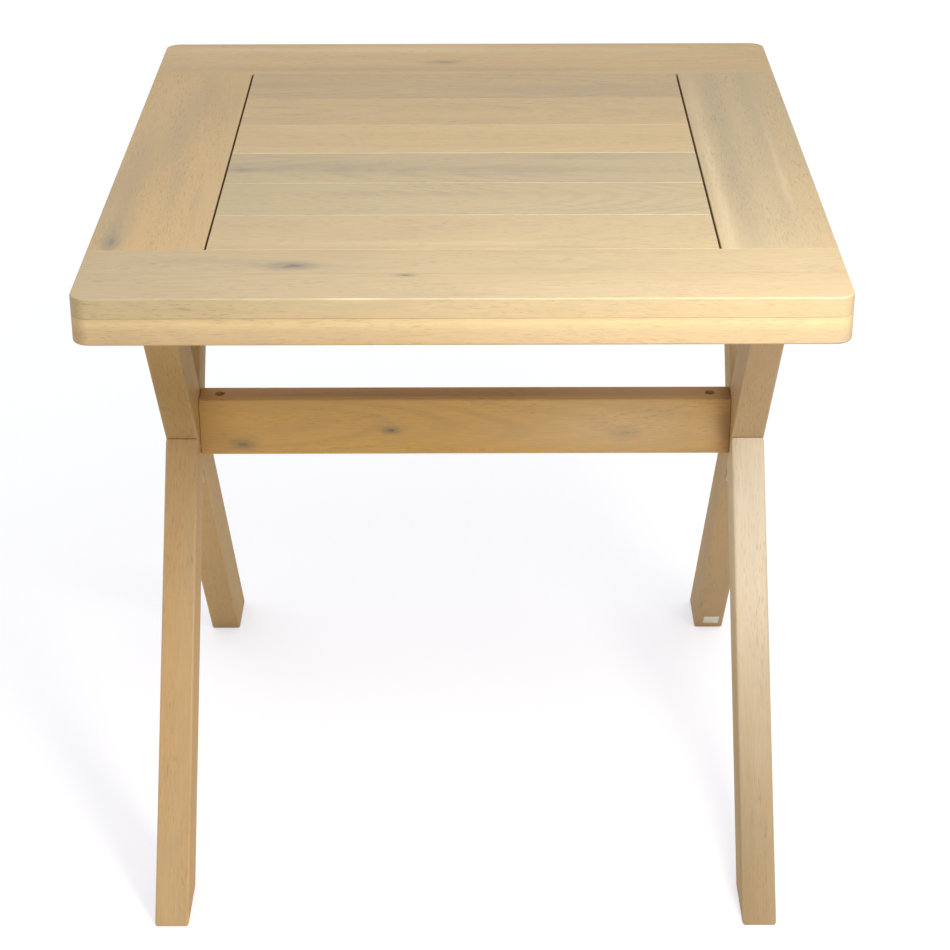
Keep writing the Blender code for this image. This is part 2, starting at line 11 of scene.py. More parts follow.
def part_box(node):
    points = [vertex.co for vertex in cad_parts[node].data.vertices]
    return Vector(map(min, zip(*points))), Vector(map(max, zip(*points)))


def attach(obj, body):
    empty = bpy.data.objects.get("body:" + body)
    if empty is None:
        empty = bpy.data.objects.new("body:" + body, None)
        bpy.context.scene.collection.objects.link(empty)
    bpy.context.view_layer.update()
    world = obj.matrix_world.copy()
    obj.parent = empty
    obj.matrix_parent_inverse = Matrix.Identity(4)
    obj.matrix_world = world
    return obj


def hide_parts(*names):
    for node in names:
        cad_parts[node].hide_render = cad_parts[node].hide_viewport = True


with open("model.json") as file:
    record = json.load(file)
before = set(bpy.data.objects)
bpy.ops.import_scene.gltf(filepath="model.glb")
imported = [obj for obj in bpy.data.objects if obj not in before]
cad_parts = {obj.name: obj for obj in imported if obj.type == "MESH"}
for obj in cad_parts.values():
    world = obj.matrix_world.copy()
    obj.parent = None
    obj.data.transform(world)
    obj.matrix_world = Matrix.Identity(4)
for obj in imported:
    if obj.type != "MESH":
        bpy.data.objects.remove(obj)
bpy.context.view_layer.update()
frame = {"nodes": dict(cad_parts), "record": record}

# ---------------------------------------------------------------- front and back rails
# Plantation acacia, planed, sanded and wiped with a thin pale oil. The two rails run
# the full width and carry the round corners of the top, with their outer arrises
# sanded round. Each is glued up from two strips, so a fine line runs along it.

ARC_STEPS = 9
EASE_STEPS = 6
TOP_EASE = 0.0015
RAIL_CORNER = 0.016
JOINT_SOFTENING = 0.00015
SHARP = math.radians(40)


def drawn_in(corners, radii, insets):
    """A convex outline with round corners, each edge drawn in by its own inset.

    A corner slides to where its two drawn-in edges meet. What is left of its radius is
    swept from the normal of the edge before to the normal of the edge after:
    corner + slide + max(radius - inset, 0) x (mitre - swept normal).
    Also returned is how far round its corner each point lies, 0 or 1 at the ends.
    """
    corners = np.asarray(corners, dtype=float)
    radii = np.asarray(radii, dtype=float)
    along = np.roll(corners, -1, axis=0) - corners
    along /= np.linalg.norm(along, axis=1)[:, None]
    after = np.column_stack((-along[:, 1], along[:, 0]))
    before = np.roll(after, 1, axis=0)
    into, out = np.roll(insets, 1)[:, None], np.asarray(insets)[:, None]
    cosine = np.sum(before * after, axis=1)[:, None]
    slide = ((into - out * cosine) * before + (out - into * cosine) * after) / (1 - cosine ** 2)
    mitre = (before + after) / (1 + cosine)
    steps = np.where(radii > 0, ARC_STEPS, 1)
    corner = np.repeat(np.arange(len(corners)), steps)
    share = np.concatenate([np.linspace(0, 1, count) for count in steps])
    angle = (np.arccos(cosine)[corner, 0] * share)[:, None]
    sideways = np.column_stack((-before[corner, 1], before[corner, 0]))
    swept = before[corner] * np.cos(angle) + sideways * np.sin(angle)
    left = np.maximum(radii[:, None] - np.maximum(into, out), 0)[corner]
    return corners[corner] + slide[corner] + left * (mitre[corner] - swept), share


def ring_faces(ring_count, count):
    """The faces over equal closed rings: quads between neighbours and one face on each end."""
    index = np.arange(ring_count * count).reshape(ring_count, count)
    beside = np.roll(index, -1, axis=1)
    sides = np.stack((index[:-1], beside[:-1], beside[1:], index[1:]), axis=-1).reshape(-1, 4)
    return sides.tolist() + [index[0, ::-1].tolist(), index[-1].tolist()]


def placed(name, mesh):
    piece = bpy.data.objects.new(name, mesh)
    bpy.context.collection.objects.link(piece)
    return piece


def skinned(name, rings, worn, softening):
    """A closed mesh over equal closed rings, with one face over each end.

    rings is (ring, point, 3), each ring counterclockwise as seen from the last one. A
    hair-wide bevel softens every sharp edge, and the wide faces stay flat in shading.
    """
    mesh = bpy.data.meshes.new(name)
    mesh.from_pydata(rings.reshape(-1, 3).tolist(), [], ring_faces(*rings.shape[:2]))
    layer = mesh.attributes.new("arris", "FLOAT", "POINT")
    layer.data.foreach_set("value", np.asarray(worn, dtype=np.float32).ravel())
    mesh.shade_smooth()
    mesh.set_sharp_from_angle(angle=SHARP)
    piece = placed(name, mesh)
    if softening:
        bevel = piece.modifiers.new("softened edges", "BEVEL")
        bevel.width = softening
        bevel.segments = 2
        bevel.limit_method = "ANGLE"
        bevel.angle_limit = SHARP
    flat = piece.modifiers.new("flat faces", "WEIGHTED_NORMAL")
    flat.keep_sharp = True
    return piece


def carried_up(name, corners, radii, eased, low, high, under, over, softening, upright="Z"):
    """An outline carried through a board's thickness, its eased edges rounded.

    At the quarter turn t the eased edges draw in by ease x (1 - cos t) while the level
    runs to ease x (1 - sin t) short of the face, below for under and above for over.
    """
    t = np.linspace(0, math.pi / 2, EASE_STEPS)
    rows = [np.column_stack((ease * (1 - np.cos(t)), ease * (1 - np.sin(t)), np.sin(2 * t)))
            if ease else np.zeros((1, 3)) for ease in (under, over)]
    inset = np.concatenate((rows[0][::-1, 0], rows[1][:, 0]))
    level = np.concatenate((low + rows[0][::-1, 1], high - rows[1][:, 1]))
    worn = np.concatenate((rows[0][::-1, 2], rows[1][:, 2]))
    flat = np.stack([drawn_in(corners, radii, np.asarray(eased) * draw)[0] for draw in inset])
    level = np.broadcast_to(level[:, None], flat.shape[:2])
    order = (flat[..., 0], flat[..., 1], level) if upright == "Z" else (level, flat[..., 0], flat[..., 1])
    return skinned(name, np.stack(order, axis=-1),
                   np.broadcast_to(worn[:, None], flat.shape[:2]), softening)


class Nodes:
    """Short ways to place and join nodes in one tree."""

    def __init__(self, tree):
        self.tree = tree

    def add(self, kind, **settings):
        node = self.tree.nodes.new(kind)
        for key, value in settings.items():
            setattr(node, key, value)
        return node

    def feed(self, socket, value):
        if isinstance(value, bpy.types.NodeSocket):
            self.tree.links.new(value, socket)
        else:
            socket.default_value = value

    def sum(self, operation, *values, clamp=False):
        node = self.add("ShaderNodeMath", operation=operation, use_clamp=clamp)
        for socket, value in zip(node.inputs, values):
            self.feed(socket, value)
        return node.outputs[0]

    def vector(self, operation, first, second):
        node = self.add("ShaderNodeVectorMath", operation=operation)
        self.feed(node.inputs[0], first)
        self.feed(node.inputs[1], second)
        return node.outputs[0]

    def scaled(self, vector, factor):
        node = self.add("ShaderNodeVectorMath", operation="SCALE")
        self.feed(node.inputs[0], vector)
        self.feed(node.inputs["Scale"], factor)
        return node.outputs[0]

    def packed(self, *values):
        node = self.add("ShaderNodeCombineXYZ")
        for socket, value in zip(node.inputs, values):
            self.feed(socket, value)
        return node.outputs[0]

    def noise(self, vector, per_metre, detail=2.0, roughness=0.5, colour=False):
        """Noise with its own number of features per metre along each axis."""
        node = self.add("ShaderNodeTexNoise")
        self.feed(node.inputs["Vector"], self.vector("MULTIPLY", vector, per_metre))
        node.inputs["Scale"].default_value = 1.0
        node.inputs["Detail"].default_value = detail
        node.inputs["Roughness"].default_value = roughness
        return node.outputs["Color" if colour else "Fac"]

    def ramp(self, value, low, high):
        node = self.add("ShaderNodeMapRange", interpolation_type="SMOOTHSTEP")
        self.feed(node.inputs[0], value)
        node.inputs[1].default_value = low
        node.inputs[2].default_value = high
        return node.outputs[0]

    def mix(self, share, first, second):
        node = self.add("ShaderNodeMix", data_type="RGBA")
        self.feed(node.inputs[0], share)
        self.feed(node.inputs[6], first)
        self.feed(node.inputs[7], second)
        return node.outputs[2]


def new_material(name):
    """A material with short access to its nodes and its shader."""
    material = bpy.data.materials.new(name)
    material.use_nodes = True
    return material, Nodes(material.node_tree), material.node_tree.nodes["Principled BSDF"]


def bumped(n, shader, height, strength, distance):
    bump = n.add("ShaderNodeBump")
    bump.inputs["Strength"].default_value = strength
    bump.inputs["Distance"].default_value = distance
    n.feed(bump.inputs["Height"], height)
    n.feed(shader.inputs["Normal"], bump.outputs[0])


def new_group(name, inputs, outputs):
    tree = bpy.data.node_groups.new(name, "ShaderNodeTree")
    for label, kind in inputs:
        tree.interface.new_socket(label, in_out="INPUT", socket_type=f"NodeSocket{kind}")
    for label, kind in outputs:
        tree.interface.new_socket(label, in_out="OUTPUT", socket_type=f"NodeSocket{kind}")
    nodes = Nodes(tree)
    return nodes, nodes.add("NodeGroupInput").outputs, nodes.add("NodeGroupOutput").inputs


def make_figure_group():
    """Acacia figure on a vector in metres whose x runs along the grain and z out of the face.

    Broad grey-brown streaks and honey bands drift along the board. Growth rings are
    cylinders about a pith that dives under the face, which draws long arches. Fibres
    and short pores come out apart, as Shade, so that they lie over the marks as well.
    """
    inputs = [("Vector", "Vector"), ("Tone", "Color"), ("Streak", "Color"), ("Honey", "Color")]
    inputs += [(label, "Float") for label in ("Streaks", "Honey Bands", "Rings", "Pith Across",
                                              "Pith Depth", "Pith Dive", "Seed", "Arris")]
    outputs = [("Color", "Color"), ("Shade", "Float"), ("Roughness", "Float"), ("Height", "Float")]
    n, given, result = new_group("acacia_figure", inputs, outputs)
    own = n.vector("ADD", given["Vector"],
                   n.packed(given["Seed"], n.sum("MULTIPLY", given["Seed"], 0.37), 0.0))
    drift = n.sum("MULTIPLY", n.sum("SUBTRACT", n.noise(own, (2.2, 9.0, 9.0)), 0.5), 0.030)
    sway = n.packed(0.0, drift, n.sum("MULTIPLY", drift, 0.6))
    grain = n.vector("ADD", own, sway)

    honey = n.ramp(n.noise(grain, (1.0, 22.0, 22.0), 3.0), 0.40, 0.66)
    streak = n.ramp(n.noise(grain, (2.1, 30.0, 30.0), 5.0, 0.60), 0.44, 0.80)
    streak = n.sum("MULTIPLY", streak, n.ramp(n.noise(own, (3.0, 10.0, 10.0), 2.0), 0.34, 0.62))

    split = n.add("ShaderNodeSeparateXYZ")
    n.feed(split.inputs[0], n.vector("ADD", given["Vector"], sway))
    across = n.sum("SUBTRACT", split.outputs[1], given["Pith Across"])
    below = n.sum("ADD", n.sum("ADD", split.outputs[2], given["Pith Depth"]),
                  n.sum("MULTIPLY", split.outputs[0], given["Pith Dive"]))
    radius = n.sum("SQRT", n.sum("ADD", n.sum("MULTIPLY", across, across),
                                 n.sum("MULTIPLY", below, below)))
    wander = n.sum("MULTIPLY", n.noise(own, (7.0, 30.0, 30.0), 3.0), 4.0)
    ring = n.ramp(n.sum("SINE", n.sum("ADD", n.sum("MULTIPLY", radius, 1100.0), wander)), -0.2, 1.0)
    ring = n.sum("MULTIPLY", ring, n.ramp(n.noise(own, (5.0, 16.0, 16.0)), 0.36, 0.66))

    fibre = n.noise(grain, (40.0, 620.0, 620.0), 4.0, 0.70)
    flecks = n.ramp(n.noise(grain, (90.0, 800.0, 800.0), 1.0), 0.56, 0.72)
    pore = n.sum("MULTIPLY", flecks, n.ramp(n.noise(own, (6.0, 40.0, 40.0)), 0.30, 0.60))
    blotch = n.noise(own, (6.0, 16.0, 16.0), 3.0)

    colour = n.mix(n.sum("MULTIPLY", honey, given["Honey Bands"]), given["Tone"], given["Honey"])
    colour = n.mix(n.sum("MULTIPLY", streak, given["Streaks"]), colour, given["Streak"])
    colour = n.mix(n.sum("MULTIPLY", ring, given["Rings"]), colour, given["Streak"])
    shade = n.sum("ADD", 1.0, n.sum("MULTIPLY", n.sum("SUBTRACT", fibre, 0.5), 0.34))
    shade = n.sum("ADD", shade, n.sum("MULTIPLY", n.sum("SUBTRACT", blotch, 0.5), 0.12))
    shade = n.sum("SUBTRACT", shade, n.sum("MULTIPLY", pore, 0.17))
    n.feed(result["Shade"], shade)
    # Arris pales the colour towards cream along the eased edges: paler sanded wood, and painted highlight
    # where the edges catch the light.
    n.feed(result["Color"], n.mix(given["Arris"], colour, (0.88, 0.75, 0.50, 1.0)))
    rough = n.sum("ADD", 0.48, n.sum("MULTIPLY", n.sum("SUBTRACT", fibre, 0.5), 0.16))
    n.feed(result["Roughness"], n.sum("ADD", rough, n.sum("MULTIPLY", pore, 0.15)))
    relief = n.sum("SUBTRACT", n.sum("MULTIPLY", fibre, 0.5), n.sum("MULTIPLY", pore, 0.8))
    n.feed(result["Height"], n.sum("SUBTRACT", relief, n.sum("MULTIPLY", ring, 0.15)))
    return n.tree


def make_mark_group():
    """A soft mark with ragged sides: a grey stain, a resin streak, a knot, a glue line, a painted shadow or
    a painted patch of light.

    The mask is exp(-q squared), where q is the distance from the centre measured in
    the mark's own half length and half width. Eye darkens a knot's middle.
    """
    inputs = [("Vector", "Vector"), ("Color", "Color"), ("Centre", "Vector"), ("Size", "Vector"),
              ("Ragged", "Float"), ("Strength", "Float"), ("Eye", "Float"), ("Mark Colour", "Color")]
    n, given, result = new_group("acacia_mark", inputs, [("Color", "Color")])
    away = n.vector("DIVIDE", n.vector("SUBTRACT", given["Vector"], given["Centre"]), given["Size"])
    wave = n.noise(given["Vector"], (14.0, 60.0, 60.0), 6.0, 0.75, colour=True)
    ragged = n.scaled(n.vector("SUBTRACT", wave, (0.5, 0.5, 0.5)), given["Ragged"])
    length = n.add("ShaderNodeVectorMath", operation="LENGTH")
    n.feed(length.inputs[0], n.vector("ADD", away, ragged))
    near = length.outputs["Value"]
    bell = n.sum("EXPONENT", n.sum("MULTIPLY", n.sum("MULTIPLY", near, near), -1.0))
    swirl = n.sum("MULTIPLY", n.sum("SINE", n.sum("MULTIPLY", near, 9.0)), 0.12)
    swirl = n.sum("ADD", 1.0, n.sum("MULTIPLY", swirl, given["Eye"]))
    eye = n.sum("MULTIPLY", n.ramp(near, 0.60, 0.10), given["Eye"])
    mask = n.sum("ADD", n.sum("MULTIPLY", bell, swirl), n.sum("MULTIPLY", eye, 0.25))
    mask = n.sum("MULTIPLY", mask, given["Strength"], clamp=True)
    n.feed(result["Color"], n.mix(mask, given["Color"], given["Mark Colour"]))
    return n.tree


figure_group = make_figure_group()
mark_group = make_mark_group()
GREY = (0.36, 0.305, 0.215)
KNOT = (0.20, 0.185, 0.150)
KNOT_STRETCH = 2.6
BROWN = (0.25, 0.15, 0.07)
CREAM = (0.90, 0.76, 0.50)
UP = (0, 0, 1)


def acacia(node, along, face, tone, seed, streak=GREY, honey=(0.64, 0.45, 0.23), streaks=0.45,
           bands=0.5, rings=0.0, pith=(0.0, 0.05, 0.08), worn=0.12, marks=()):
    """One board's finish, on a vector laid along the grain, across it and out of the face.

    Each mark is its centre and half size in that order, strength, colour, ragged, eye.
    """
    material, n, shader = new_material(f"acacia_{node}")
    low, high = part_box(node)
    centred = n.vector("SUBTRACT", n.add("ShaderNodeTexCoord").outputs["Object"], (low + high) / 2)
    lay = n.add("ShaderNodeMapping")
    n.feed(lay.inputs["Vector"], centred)
    across = Vector(face).cross(Vector(along))
    lay.inputs["Rotation"].default_value = Matrix((Vector(along), across, Vector(face))).to_euler()
    arris = n.add("ShaderNodeAttribute", attribute_name="arris").outputs["Fac"]
    figure = n.add("ShaderNodeGroup", node_tree=figure_group)
    values = {"Tone": (*tone, 1.0), "Streak": (*streak, 1.0), "Honey": (*honey, 1.0),
              "Streaks": streaks, "Honey Bands": bands, "Rings": rings, "Pith Across": pith[0],
              "Pith Depth": pith[1], "Pith Dive": pith[2], "Seed": seed,
              "Vector": lay.outputs[0], "Arris": n.sum("MULTIPLY", arris, worn)}
    for label, value in values.items():
        n.feed(figure.inputs[label], value)
    colour = figure.outputs["Color"]
    for centre, size, strength, paint, ragged, eye in marks:
        mark = n.add("ShaderNodeGroup", node_tree=mark_group)
        values = {"Vector": lay.outputs[0], "Color": colour, "Centre": centre, "Size": size,
                  "Strength": strength, "Mark Colour": (*paint, 1.0), "Ragged": ragged, "Eye": eye}
        for label, value in values.items():
            n.feed(mark.inputs[label], value)
        colour = mark.outputs["Color"]
    n.feed(shader.inputs["Base Color"], n.scaled(colour, figure.outputs["Shade"]))
    n.feed(shader.inputs["Roughness"], figure.outputs["Roughness"])
    shader.inputs["Specular IOR Level"].default_value = 0.45
    bumped(n, shader, figure.outputs["Height"], 0.25, 0.0006)
    return material


def fit(piece, body, material, node):
    """Puts a finished piece in the place of its node, on its body and in its paint slot."""
    piece.data.materials.append(material)
    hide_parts(node)
    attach(piece, body)


def rectangle(low, high):
    return [(low[0], low[1]), (high[0], low[1]), (high[0], high[1]), (low[0], high[1])]


def rim_board(node, sign, under, over):
    """A board along the front (sign -1) or back (1) of the rim, with its two round corners."""
    low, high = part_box(node)
    outer = [1, 1, 0, 1] if sign < 0 else [0, 1, 1, 1]
    round_corners = [1, 1, 0, 0] if sign < 0 else [0, 0, 1, 1]
    return carried_up(f"{node}_finish", rectangle(low, high), RAIL_CORNER * np.array(round_corners),
                      outer, low.z, high.z, under, over, JOINT_SOFTENING)


def knot(along, across, out, size, strength):
    return (along, across, out), (size * KNOT_STRETCH, size, size), strength, KNOT, 1.6, 1.0


# A soft mark: a real stain or streak, and also painted shade and painted light where the looks use it so.
def stain_or_painted_light(along, across, out, length, width, strength, paint=GREY, ragged=1.2):
    return (along, across, out), (length, width, width * 2), strength, paint, ragged, 0.0


FACE = 0.0095
ENDLESS = 3.0
RAIL_LOOKS = {
    "front_rail": dict(tone=(0.603, 0.465, 0.268), seed=3.1, streaks=0.30, bands=0.45, rings=0.12,
                       pith=(0.02, 0.07, 0.05), marks=[
        knot(-0.157, 0.0195, FACE, 0.0088, 0.70), knot(-0.052, -0.0048, FACE, 0.0036, 0.70),
        stain_or_painted_light(0.109, 0.009, FACE, 0.075, 0.006, 0.22), stain_or_painted_light(-0.13, 0.016, FACE, 0.050, 0.006, 0.25),
        stain_or_painted_light(0.0, 0.0, FACE, ENDLESS, 0.0006, 0.25, BROWN, 0.2),
        stain_or_painted_light(-0.097, -0.0600, 0.0090, 0.024, 0.0007, 0.8, CREAM, 1.5),
        stain_or_painted_light(-0.097, -0.0590, FACE, 0.020, 0.0005, 0.5, BROWN, 1.5)]),
    "back_rail": dict(tone=(0.676, 0.469, 0.232), seed=8.4, streaks=0.35, bands=0.6, rings=0.12,
                      pith=(0.02, 0.07, 0.05), marks=[
        knot(-0.024, -0.0150, FACE, 0.0070, 0.50), stain_or_painted_light(-0.17, -0.040, FACE, 0.20, 0.014, 0.35),
        stain_or_painted_light(0.10, -0.045, FACE, 0.30, 0.008, 0.30), stain_or_painted_light(-0.12, 0.035, FACE, 0.35, 0.012, 0.30, CREAM),
        stain_or_painted_light(0.0, 0.0, FACE, ENDLESS, 0.0006, 0.18, BROWN, 0.2)]),
}
for node, sign in (("front_rail", -1), ("back_rail", 1)):
    rail = rim_board(node, sign, 0, TOP_EASE)
    fit(rail, "top", acacia(node, (1, 0, 0), UP, **RAIL_LOOKS[node]), node)


# ---------------------------------------------------------------- stiles
# The two end boards run front to back between the rails, flush with them, and share
# their rounded outer arris. Grey heartwood streaks run along both, and their inner
# sides, which face the gaps at the slats' ends, are painted dark as shade.

SLAT_SIDE_EASE = 0.0008


def carried_along(name, section, radii, axis, start, end, softening):
    """A rounded section carried in a straight line along x or y, square at both ends.

    The section is given in the plane across the line: (y, z) for x and (x, z) for y.
    """
    flat, share = drawn_in(section, radii, np.zeros(len(section)))
    worn = np.sin(math.pi * share) * (np.repeat(radii, np.where(np.asarray(radii) > 0, ARC_STEPS, 1)) > 0)
    station = np.array([start, end]) if axis == "X" else np.array([end, start])
    rings = np.empty((2, len(flat), 3))
    rings[..., 0 if axis == "X" else 1] = station[:, None]
    rings[..., 1 if axis == "X" else 0] = flat[:, 0]
    rings[..., 2] = flat[:, 1]
    return skinned(name, rings, np.broadcast_to(worn, (2, len(flat))), softening)


STILE_LOOKS = {
    "left_stile": dict(tone=(0.669, 0.451, 0.21), seed=14.2, streaks=0.40, bands=0.6, rings=0.05, marks=[
        knot(-0.2565, 0.0337, FACE, 0.0085, 0.65), stain_or_painted_light(-0.225, 0.034, FACE, 0.060, 0.013, 0.40),
        stain_or_painted_light(-0.08, 0.036, FACE, 0.17, 0.015, 0.42), stain_or_painted_light(0.07, 0.004, FACE, 0.13, 0.016, 0.36),
        stain_or_painted_light(0.20, -0.014, FACE, 0.08, 0.012, 0.30), stain_or_painted_light(-0.11, -0.010, FACE, 0.10, 0.008, 0.22)]),
    "right_stile": dict(tone=(0.596, 0.452, 0.254), seed=21.7, streaks=0.22, bands=0.4, rings=0.05, marks=[
        stain_or_painted_light(0.02, 0.022, FACE, 0.34, 0.013, 0.38, GREY, 0.9),
        stain_or_painted_light(0.10, -0.018, FACE, 0.16, 0.014, 0.22),
        stain_or_painted_light(-0.05, -0.024, FACE, 0.15, 0.0035, 0.22, CREAM, 0.8),
        stain_or_painted_light(-0.18, -0.020, FACE, 0.06, 0.012, 0.18),
        stain_or_painted_light(-0.10, 0.044, FACE, 0.30, 0.006, 0.30, CREAM, 0.6)]),
}
GAP_SHADE_BROWN = (0.10, 0.06, 0.03)
GAP_SKIN = 0.0008
GAP_REACH = 0.0080
GAP_DROP = 0.003


def painted_gap_shade(along, across, length, width):
    """Painted shade: a dark band on a side that faces a gap, where little light reaches."""
    return (along, across, -GAP_DROP), (length, width, GAP_REACH), 0.9, GAP_SHADE_BROWN, 0.0, 0.0


for node, side in (("left_stile", -1), ("right_stile", 1)):
    low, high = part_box(node)
    # Painted shade: a dark band on the stile's inner side, which faces the gap at the slats' ends.
    STILE_LOOKS[node]["marks"].append(painted_gap_shade(0, side * (high.x - low.x) / 2, ENDLESS, GAP_SKIN))
    arrises = [0, 0, TOP_EASE, SLAT_SIDE_EASE] if side > 0 else [0, 0, SLAT_SIDE_EASE, TOP_EASE]
    stile = carried_along(f"{node}_finish", rectangle(low.xz, high.xz), arrises, "Y", low.y, high.y,
                          JOINT_SOFTENING)
    fit(stile, "top", acacia(node, (0, 1, 0), UP, **STILE_LOOKS[node]), node)


# ---------------------------------------------------------------- slats
# Six slats lie side by side along x with their long upper arrises eased, and stop
# short of the stiles, which leaves a gap at each end; the slats' ends are painted dark
# as shade in the gap. Slat 1 is the front one.

SLAT_EASE = 0.0010
SLAT_SOFTENING = 0.0004
# Each slat's own arris value sets how far its eased arrises pale towards cream: sanded wood, and painted
# highlight that makes some joint lines brighter than others.
SLAT_LOOKS = {
    1: dict(tone=(0.625, 0.482, 0.276), seed=31.0, streaks=0.30, bands=0.5, rings=0.08, worn=0.20,
            marks=[stain_or_painted_light(-0.05, -0.030, FACE, 0.16, 0.006, 0.20, CREAM)]),
    2: dict(tone=(0.6, 0.474, 0.269), seed=37.3, streaks=0.25, bands=0.15, rings=0.22, worn=0.20,
            pith=(0.004, 0.030, 0.16), marks=[stain_or_painted_light(-0.03, 0.014, FACE, 0.13, 0.008, 0.25)]),
    3: dict(tone=(0.588, 0.459, 0.268), seed=43.9, streaks=0.50, bands=0.10, rings=0.25, worn=0.28,
            pith=(-0.010, 0.045, -0.10),
            marks=[knot(-0.223, -0.006, FACE, 0.0070, 0.45), stain_or_painted_light(-0.16, 0.004, FACE, 0.09, 0.016, 0.40),
                   stain_or_painted_light(0.06, -0.004, FACE, 0.12, 0.014, 0.30)]),
    4: dict(tone=(0.69, 0.507, 0.265), seed=52.6, streaks=0.20, bands=0.6, rings=0.08, worn=0.55),
    5: dict(tone=(0.653, 0.471, 0.246), seed=61.2, streaks=0.35, bands=0.5, rings=0.14, worn=0.15,
            marks=[stain_or_painted_light(-0.205, 0.016, FACE, 0.030, 0.004, 0.35),
                   stain_or_painted_light(-0.185, -0.010, FACE, 0.03, 0.003, 0.3)]),
    6: dict(tone=(0.571, 0.42, 0.23), seed=68.8, streaks=0.45, bands=0.25, rings=0.18, worn=0.10,
            marks=[stain_or_painted_light(-0.20, 0.005, FACE, 0.08, 0.012, 0.30),
                   stain_or_painted_light(0.15, -0.008, FACE, 0.09, 0.012, 0.30)]),
}
for number, look in SLAT_LOOKS.items():
    node = f"slat_{number}"
    low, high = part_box(node)
    end = (high.x - low.x) / 2
    # Painted shade: a dark band at each slat end, which faces the gap by the stile.
    look["marks"] = look.get("marks", []) + [painted_gap_shade(way * end, 0, GAP_SKIN, ENDLESS) for way in (-1, 1)]
    slat = carried_along(f"{node}_finish", rectangle(low.yz, high.yz), [0, 0, SLAT_EASE, SLAT_EASE], "X",
                         low.x, high.x, SLAT_SOFTENING)
    fit(slat, "top", acacia(node, (1, 0, 0), UP, **look), node)


# ---------------------------------------------------------------- edge boards
# Deeper strips are glued and screwed under the rim, flush with it, so that the thin
# top looks thick. They are cut from yellower wood than the rails above them.

EDGE_EASE = 0.0024
SIDE_EASE = 0.001
EDGE_FACE = 0.012
for node, sign, seed in (("front_edge_board", -1, 75.5), ("back_edge_board", 1, 83.1)):
    edge = rim_board(node, sign, EDGE_EASE, 0)
    marks = [stain_or_painted_light(0.0, 0.0080, EDGE_FACE, 1.2, 0.0050, 0.50, (0.86, 0.66, 0.33), 0.5),
             stain_or_painted_light(-0.10, -0.010, EDGE_FACE, 0.30, 0.0025, 0.30, (0.60, 0.36, 0.16), 0.8),
             stain_or_painted_light(0.16, 0.006, EDGE_FACE, 0.20, 0.0020, 0.25, (0.60, 0.42, 0.20), 0.8),
             stain_or_painted_light(0.338, -0.0085, 0.006, 0.010, 0.0045, 0.7, (0.52, 0.42, 0.30), 2.2),
             stain_or_painted_light(0.333, -0.0125, 0.006, 0.012, 0.0014, 0.8, BROWN, 1.6)]
    wood = acacia(node, (1, 0, 0), (0, sign, 0), (0.641, 0.469, 0.264), seed, streaks=0.12, bands=0.5,
                  rings=0.08, marks=marks)
    fit(edge, "top", wood, node)

for node, side, seed in (("left_edge_board", -1, 91.4), ("right_edge_board", 1, 97.7)):
    low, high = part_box(node)
    arrises = [SIDE_EASE, EDGE_EASE, 0, 0] if side > 0 else [EDGE_EASE, SIDE_EASE, 0, 0]
    edge = carried_along(f"{node}_finish", rectangle(low.xz, high.xz), arrises, "Y", low.y, high.y,
                         JOINT_SOFTENING)
    wood = acacia(node, (0, 1, 0), (side, 0, 0), (0.68, 0.51, 0.28), seed, streaks=0.2, bands=0.5,
                  rings=0.08)
    fit(edge, "top", wood, node)


# ---------------------------------------------------------------- ledgers, batten and tenons
# Plain strips under the slats, screwed up into them, carry the slats' ends and middle.
# Loose tenons inside the corner joints tie the stiles to the rails.

STRIP_EASE = 0.0015
STRIP_SOFTENING = 0.0006
for node, seed in (("left_ledger", 104.0), ("right_ledger", 111.0), ("centre_batten", 118.0)):
    low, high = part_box(node)
    strip = carried_along(f"{node}_finish", rectangle(low.xz, high.xz), [STRIP_EASE, STRIP_EASE, 0, 0], "Y",
                          low.y, high.y, STRIP_SOFTENING)
    wood = acacia(node, (0, 1, 0), (0, 0, -1), (0.56, 0.43, 0.25), seed, streaks=0.5, bands=0.5, rings=0.12)
    fit(strip, "top", wood, node)



def refinish(node, material):
    """Gives a node that is kept from the frame a new material."""
    frame["nodes"][node].data.materials.clear()
    frame["nodes"][node].data.materials.append(material)


for node in ("front_left_tenon", "front_right_tenon", "back_left_tenon", "back_right_tenon"):
    refinish(node, acacia(node, (0, 1, 0), UP, (0.50, 0.38, 0.22), 3.0))


# ---------------------------------------------------------------- legs, struts, stretcher
# Planed bars with well rounded arrises. The rear legs are whole; the front legs and
# the upper struts are mitred against them at the crossing, and hinge there. The
# stretcher is bolted between the rear legs, with a well for each barrel nut.

joints = {joint["name"]: joint for joint in frame["record"]["behaviour"]["joints"]}
lean = math.radians(joints["left_front_leg_fold"]["range_deg"][1]) / 2
crossing_z = joints["left_strut_fold"]["pos_m"][2]
pivot_z = joints["top_fold"]["pos_m"][2]
HINGE_OFFSET = 0.0045
half_leg = joints["left_strut_fold"]["pos_m"][1] * math.cos(lean) - HINGE_OFFSET
LEG_EASE = 0.0026
FIT = 0.0003
RECESS_DEPTH = 0.0055
LEG_SOFTENING = 0.0008
STRETCHER_SOFTENING = 0.0004
ROUND_END = half_leg - 0.0002
LEG_FACE = 0.028
BEAM_FACE = 0.017


def leg_point(along, out, slope):
    """A point along and beside the rear leg's line (slope 1) or the front leg's (-1)."""
    y = along * math.sin(lean) + out * math.cos(lean)
    return (slope * y, crossing_z - along * math.cos(lean) + out * math.sin(lean))


def mitre_point(out, rear_out):
    """Where a face line of a front leg or strut meets a line beside the rear leg."""
    return leg_point(-(rear_out + out * math.cos(2 * lean)) / math.sin(2 * lean), out, -1)


